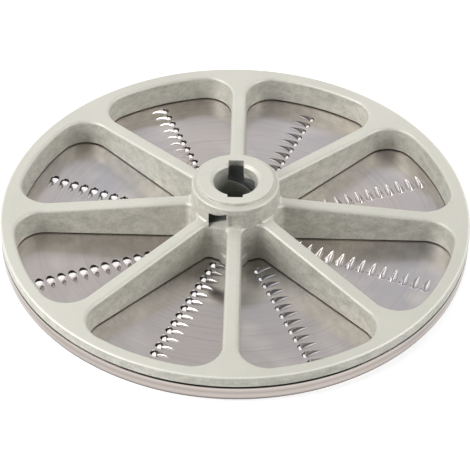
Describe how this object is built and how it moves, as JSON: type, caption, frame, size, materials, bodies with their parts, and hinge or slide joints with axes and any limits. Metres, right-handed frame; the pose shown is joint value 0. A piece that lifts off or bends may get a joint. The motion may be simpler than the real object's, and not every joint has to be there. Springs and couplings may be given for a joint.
{
  "type": "grating disc",
  "caption": "Round grating disc: a spoked cast hub and rim with a bayonet socket, backed by a pressed plate with radial rows of punched teeth.",
  "frame": {"origin": "on the axis of the disc, at the tips of the teeth, which the disc rests on when it lies with its hub up", "axes": "+Z along the axis, from the cutting side to the mouth of the socket; +X and +Y along ribs, with the two keyways of the socket on the Y axis"},
  "size_m": [0.205, 0.205, 0.034],
  "materials": {
    "cast_alloy": "fine sand-blasted casting, satin, with a faint warm grey tone",
    "brushed_steel": "stainless sheet with a fine circular brushed grain",
    "screw_steel": "plain turned stainless steel"
  },
  "bodies": {
    "root": {"spoked_casting": "cast_alloy", "grating_plate": "brushed_steel", "plate_screw_front": "screw_steel", "plate_screw_rear": "screw_steel"}
  },
  "joints": []
}
